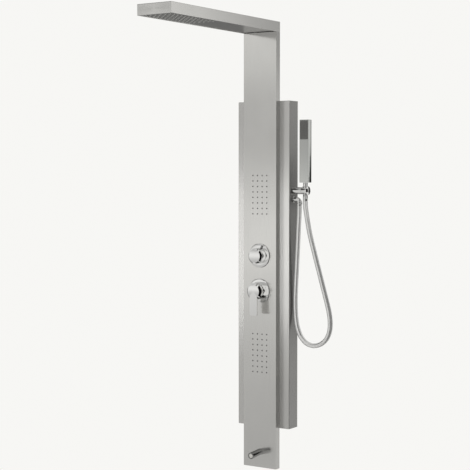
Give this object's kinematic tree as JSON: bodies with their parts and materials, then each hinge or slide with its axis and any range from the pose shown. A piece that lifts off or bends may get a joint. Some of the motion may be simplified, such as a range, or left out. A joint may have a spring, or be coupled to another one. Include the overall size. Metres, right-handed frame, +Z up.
{
  "type": "rainfall shower column",
  "caption": "Wall-hung brushed steel shower column with a long overhead rain head, body jets, diverter knob, lever mixer, spout and a hand shower on a free hose.",
  "frame": {"origin": "middle of the upper wall bracket's wall face, which lies in the wall's plane", "axes": "+Z up along the column, +Y into the wall, +X to the right as the user faces the column, where the hand shower is; the rain head reaches towards -Y"},
  "size_m": [0.3329, 0.6125, 1.4],
  "materials": {
    "brushed_steel": "brushed lengthwise, satin",
    "inner_steel": "mill finish, unpolished",
    "chrome": "polished chrome plate",
    "brass": "machined, bare",
    "hose_metal": "smooth silver hose with fine spiral windings",
    "grey_silicone": "soft matte silicone",
    "dark_silicone": "soft matte silicone",
    "white_plastic": "moulded, matte"
  },
  "bodies": {
    "root": {"front_panel": "brushed_steel", "rear_housing": "brushed_steel", "upper_back_cover": "brushed_steel", "lower_back_cover": "brushed_steel", "upper_panel_clip": "inner_steel", "lower_panel_clip": "inner_steel", "upper_wall_bracket": "inner_steel", "lower_wall_bracket": "inner_steel", "upper_hanger_rail": "inner_steel", "lower_hanger_rail": "inner_steel", "head_shell": "brushed_steel", "head_spray_plate": "brushed_steel", "head_nozzle_mat": "grey_silicone", "head_water_chamber": "white_plastic", "front_chamber_clamp": "inner_steel", "rear_chamber_clamp": "inner_steel", "upper_jet_nozzle_mat": "dark_silicone", "lower_jet_nozzle_mat": "dark_silicone", "upper_jet_manifold": "white_plastic", "lower_jet_manifold": "white_plastic", "diverter_valve_body": "brass", "diverter_cartridge": "white_plastic", "diverter_escutcheon": "chrome", "mixer_valve_body": "brass", "hot_inlet_filter": "inner_steel", "cold_inlet_filter": "inner_steel", "mixer_cartridge": "white_plastic", "mixer_escutcheon": "chrome", "mixer_sleeve": "chrome", "spout": "chrome", "spout_aerator": "white_plastic", "spout_elbow": "brass", "mixer_to_diverter_pipe": "inner_steel", "head_feed_pipe": "inner_steel", "upper_jet_feed_pipe": "inner_steel", "hand_shower_feed_pipe": "inner_steel", "lower_jet_feed_pipe": "inner_steel", "spout_feed_pipe": "inner_steel", "holder_bar": "chrome", "holder_socket": "chrome", "holder_end_cap": "chrome", "holder_bar_nut": "brass", "hose_outlet_elbow": "chrome", "outlet_elbow_nut": "brass", "hose_outlet_nut": "chrome", "shower_hose": "hose_metal"},
    "diverter_dial": {"diverter_knob": "chrome", "diverter_pointer": "chrome", "diverter_stem": "brass"},
    "mixer_turret": {"mixer_cartridge_rotor": "white_plastic"},
    "mixer_lever": {"mixer_handle": "chrome", "mixer_stem": "brass"},
    "hand_shower": {"hand_shower_body": "chrome", "hand_shower_nozzle_mat": "dark_silicone", "hand_shower_neck": "chrome", "hose_cone_nut": "chrome"}
  },
  "joints": [
    {"name": "diverter_turn", "type": "hinge", "parent": "root", "child": "diverter_dial", "pos_m": [0, -0.0715, -0.409], "axis": [0, -1, 0], "range_deg": [-90, 90]},
    {"name": "mixer_temperature", "type": "hinge", "parent": "root", "child": "mixer_turret", "pos_m": [0, -0.0715, -0.5195], "axis": [0, -1, 0], "range_deg": [-45, 45]},
    {"name": "mixer_flow", "type": "hinge", "parent": "mixer_turret", "child": "mixer_lever", "pos_m": [0, -0.0735, -0.5195], "axis": [-1, 0, 0], "range_deg": [0, 22]},
    {"name": "hand_shower_turn", "type": "hinge", "parent": "root", "child": "hand_shower", "pos_m": [0.1408, -0.029, -0.1933], "axis": [0, 0, 1], "continuous": true}
  ]
}
